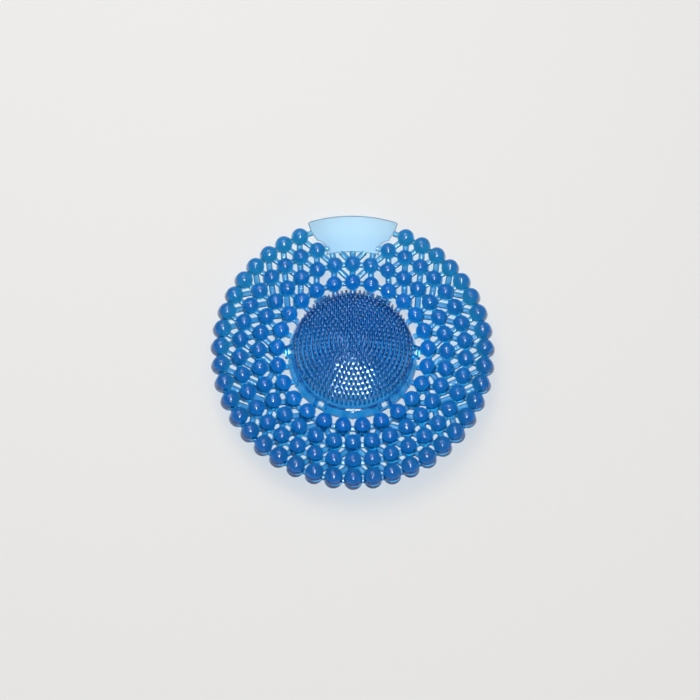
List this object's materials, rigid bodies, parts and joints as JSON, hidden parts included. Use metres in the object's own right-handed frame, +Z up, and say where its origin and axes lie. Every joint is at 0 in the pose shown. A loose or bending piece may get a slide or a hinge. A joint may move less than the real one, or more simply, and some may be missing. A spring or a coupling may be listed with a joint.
{
  "type": "urinal deodorizer screen",
  "caption": "Round dished splash screen: a mat of beads joined by short bars, a hollow domed drum covered in pins, six windowed lugs and a bare lifting tab.",
  "frame": {"origin": "on the resting plane, on the axis of the drum", "axes": "+Z up out of the drum, +Y towards the tab, +X to the right seen from the front"},
  "size_m": [0.1802, 0.184, 0.0408],
  "materials": {
    "blue_eva": "gloss"
  },
  "bodies": {
    "root": {"deodorizer_screen": "blue_eva"}
  },
  "joints": []
}
